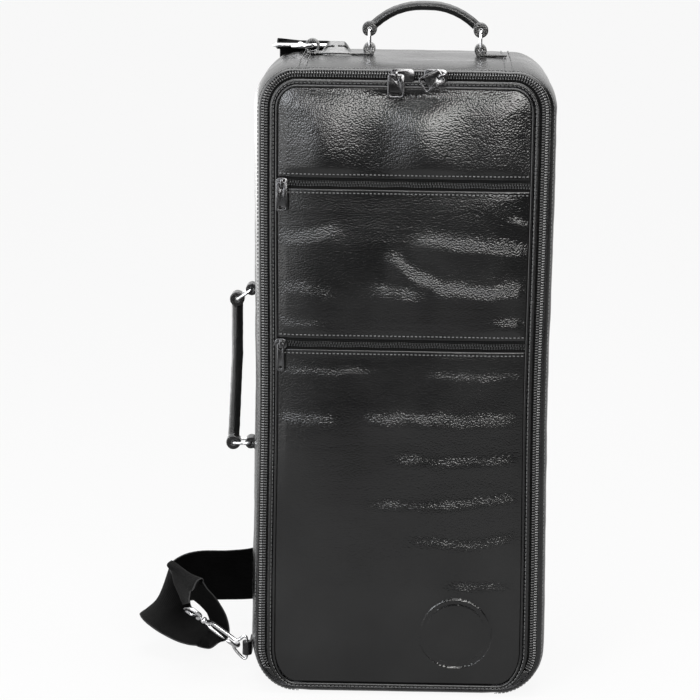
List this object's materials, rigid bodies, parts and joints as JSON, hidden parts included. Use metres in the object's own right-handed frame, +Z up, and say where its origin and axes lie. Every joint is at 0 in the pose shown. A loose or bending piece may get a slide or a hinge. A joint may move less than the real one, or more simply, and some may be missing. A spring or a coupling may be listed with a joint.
{
  "type": "double trumpet gig bag",
  "caption": "Upright leather clamshell bag for two trumpets, with zipped lid pockets, two handles and a clipped shoulder strap.",
  "frame": {"origin": "middle of the flat base that the bag stands on", "axes": "+Z up along the bag's height, -Y out of the lid, +X to the right as seen from the lid"},
  "size_m": [0.3812, 0.2586, 0.6239],
  "materials": {
    "black_leather": "glossy pebbled black leather",
    "grey_foam": "closed-cell foam",
    "grey_plush": "short plush lining",
    "zip_coil": "nylon coil and woven tape",
    "black_webbing": "flat woven webbing",
    "gunmetal": "dark plated zinc",
    "bright_chrome": "bright nickel plate"
  },
  "bodies": {
    "root": {"back_foam": "grey_foam", "back_panel": "black_leather", "base_gusset": "black_leather", "body_lining": "grey_plush", "divider": "grey_plush", "gusset_foam": "grey_foam", "hinge_strip": "black_webbing", "left_bell_rest": "grey_plush", "left_gusset": "black_leather", "left_valve_block": "grey_plush", "left_zip_tab": "black_leather", "lower_hook_eye": "bright_chrome", "right_bell_rest": "grey_plush", "right_gusset": "black_leather", "right_valve_block": "grey_plush", "right_zip_tab": "black_leather", "ring_tab": "black_leather", "shoulder_strap": "black_webbing", "side_lower_anchor": "black_leather", "side_upper_anchor": "black_leather", "top_gusset": "black_leather", "top_left_anchor": "black_leather", "top_right_anchor": "black_leather", "upper_hook_eye": "bright_chrome", "zip_body_side": "zip_coil"},
    "lid": {"lid_top_panel": "black_leather", "lid_middle_panel": "black_leather", "lid_lower_panel": "black_leather", "lid_border": "black_leather", "lid_piping": "black_leather", "zip_lid_side": "zip_coil", "lid_foam": "grey_foam", "lid_lining": "grey_plush", "upper_pocket_zip": "zip_coil", "lower_pocket_zip": "zip_coil", "upper_pocket_bag": "grey_plush", "lower_pocket_bag": "grey_plush"},
    "left_main_slider": {"left_main_slider": "gunmetal"},
    "right_main_slider": {"right_main_slider": "gunmetal"},
    "left_main_pull": {"left_main_pull": "gunmetal"},
    "right_main_pull": {"right_main_pull": "gunmetal"},
    "upper_pocket_slider": {"upper_pocket_slider": "gunmetal"},
    "lower_pocket_slider": {"lower_pocket_slider": "gunmetal"},
    "upper_pocket_pull": {"upper_pocket_pull": "gunmetal"},
    "lower_pocket_pull": {"lower_pocket_pull": "gunmetal"},
    "top_left_link": {"top_left_link": "bright_chrome"},
    "top_right_link": {"top_right_link": "bright_chrome"},
    "top_handle_grip": {"top_handle_grip": "black_leather"},
    "side_upper_link": {"side_upper_link": "bright_chrome"},
    "side_lower_link": {"side_lower_link": "bright_chrome"},
    "side_handle_grip": {"side_handle_grip": "black_leather"},
    "upper_hook": {"upper_hook": "bright_chrome"},
    "upper_hook_gate": {"upper_hook_gate": "bright_chrome"},
    "lower_hook": {"lower_hook": "bright_chrome"},
    "lower_hook_gate": {"lower_hook_gate": "bright_chrome"},
    "lower_ring": {"lower_ring": "bright_chrome"}
  },
  "joints": [
    {"name": "lid_hinge", "type": "hinge", "parent": "root", "child": "lid", "pos_m": [0, -0.0953, 0.006], "axis": [1, 0, 0], "range_deg": [0, 84]},
    {"name": "left_main_zip", "type": "slide", "parent": "lid", "child": "left_main_slider", "axis": [1, 0, 0], "range_m": [-0.08, 0]},
    {"name": "right_main_zip", "type": "slide", "parent": "lid", "child": "right_main_slider", "axis": [1, 0, 0], "range_m": [0, 0.057]},
    {"name": "left_main_pull_swing", "type": "hinge", "parent": "left_main_slider", "child": "left_main_pull", "pos_m": [-0.008, -0.0984, 0.5653], "axis": [-1, 0, 0], "range_deg": [0, 150]},
    {"name": "right_main_pull_swing", "type": "hinge", "parent": "right_main_slider", "child": "right_main_pull", "pos_m": [0.032, -0.0984, 0.5653], "axis": [-0.4695, 0, 0.8829], "range_deg": [0, 150]},
    {"name": "upper_pocket_zip_slide", "type": "slide", "parent": "lid", "child": "upper_pocket_slider", "axis": [1, 0, 0], "range_m": [0, 0.205]},
    {"name": "lower_pocket_zip_slide", "type": "slide", "parent": "lid", "child": "lower_pocket_slider", "axis": [1, 0, 0], "range_m": [0, 0.205]},
    {"name": "upper_pocket_pull_swing", "type": "hinge", "parent": "upper_pocket_slider", "child": "upper_pocket_pull", "pos_m": [-0.1075, -0.1009, 0.469], "axis": [-1, 0, 0], "range_deg": [0, 150]},
    {"name": "lower_pocket_pull_swing", "type": "hinge", "parent": "lower_pocket_slider", "child": "lower_pocket_pull", "pos_m": [-0.1075, -0.1009, 0.325], "axis": [-1, 0, 0], "range_deg": [0, 150]},
    {"name": "top_left_link_swing", "type": "hinge", "parent": "root", "child": "top_left_link", "pos_m": [-0.034, 0.008, 0.5799], "axis": [0, 1, 0], "range_deg": [-55, 55]},
    {"name": "top_right_link_swing", "type": "hinge", "parent": "root", "child": "top_right_link", "pos_m": [0.067, 0.008, 0.5799], "axis": [0, 1, 0], "range_deg": [-55, 55]},
    {"name": "top_grip_swing", "type": "hinge", "parent": "top_left_link", "child": "top_handle_grip", "pos_m": [-0.034, 0.008, 0.5979], "axis": [0, 1, 0], "range_deg": [-55, 55]},
    {"name": "side_upper_link_swing", "type": "hinge", "parent": "root", "child": "side_upper_link", "pos_m": [-0.1399, 0.008, 0.357], "axis": [0, 1, 0], "range_deg": [0, 35]},
    {"name": "side_lower_link_swing", "type": "hinge", "parent": "root", "child": "side_lower_link", "pos_m": [-0.1399, 0.008, 0.212], "axis": [0, 1, 0], "range_deg": [0, 35]},
    {"name": "side_grip_swing", "type": "hinge", "parent": "side_upper_link", "child": "side_handle_grip", "pos_m": [-0.15339, 0.008, 0.3475], "axis": [0, 1, 0], "range_deg": [-38, 0]},
    {"name": "upper_hook_swivel", "type": "hinge", "parent": "root", "child": "upper_hook", "pos_m": [-0.09997, 0.05149, 0.57853], "axis": [0.1127, -0.9916, 0.0631], "range_deg": [-6, 6]},
    {"name": "upper_gate_swing", "type": "hinge", "parent": "upper_hook", "child": "upper_hook_gate", "pos_m": [-0.10592, 0.0241, 0.58028], "axis": [0, 0.0635, 0.998], "range_deg": [0, 20], "stiffness_Nm_per_rad": 0.05, "springref_deg": -5.73},
    {"name": "lower_hook_swivel", "type": "hinge", "parent": "root", "child": "lower_hook", "pos_m": [-0.1935, -0.06, 0.068], "axis": [0.809, 0, -0.5878], "range_deg": [-12, 12]},
    {"name": "lower_gate_swing", "type": "hinge", "parent": "lower_hook", "child": "lower_hook_gate", "pos_m": [-0.172, -0.069, 0.0524], "axis": [0.5878, 0, 0.809], "range_deg": [0, 20], "stiffness_Nm_per_rad": 0.05, "springref_deg": -5.73},
    {"name": "lower_ring_swing", "type": "hinge", "parent": "root", "child": "lower_ring", "pos_m": [-0.1387, -0.06, 0.032], "axis": [0, 0, 1], "range_deg": [-8, 8]}
  ],
  "couplings": [
    {"joint": "top_right_link_swing", "follows": "top_left_link_swing", "ratio": 1},
    {"joint": "top_grip_swing", "follows": "top_left_link_swing", "ratio": -1},
    {"joint": "side_lower_link_swing", "follows": "side_upper_link_swing", "ratio": 1},
    {"joint": "side_grip_swing", "follows": "side_upper_link_swing", "ratio": -1.0722}
  ]
}
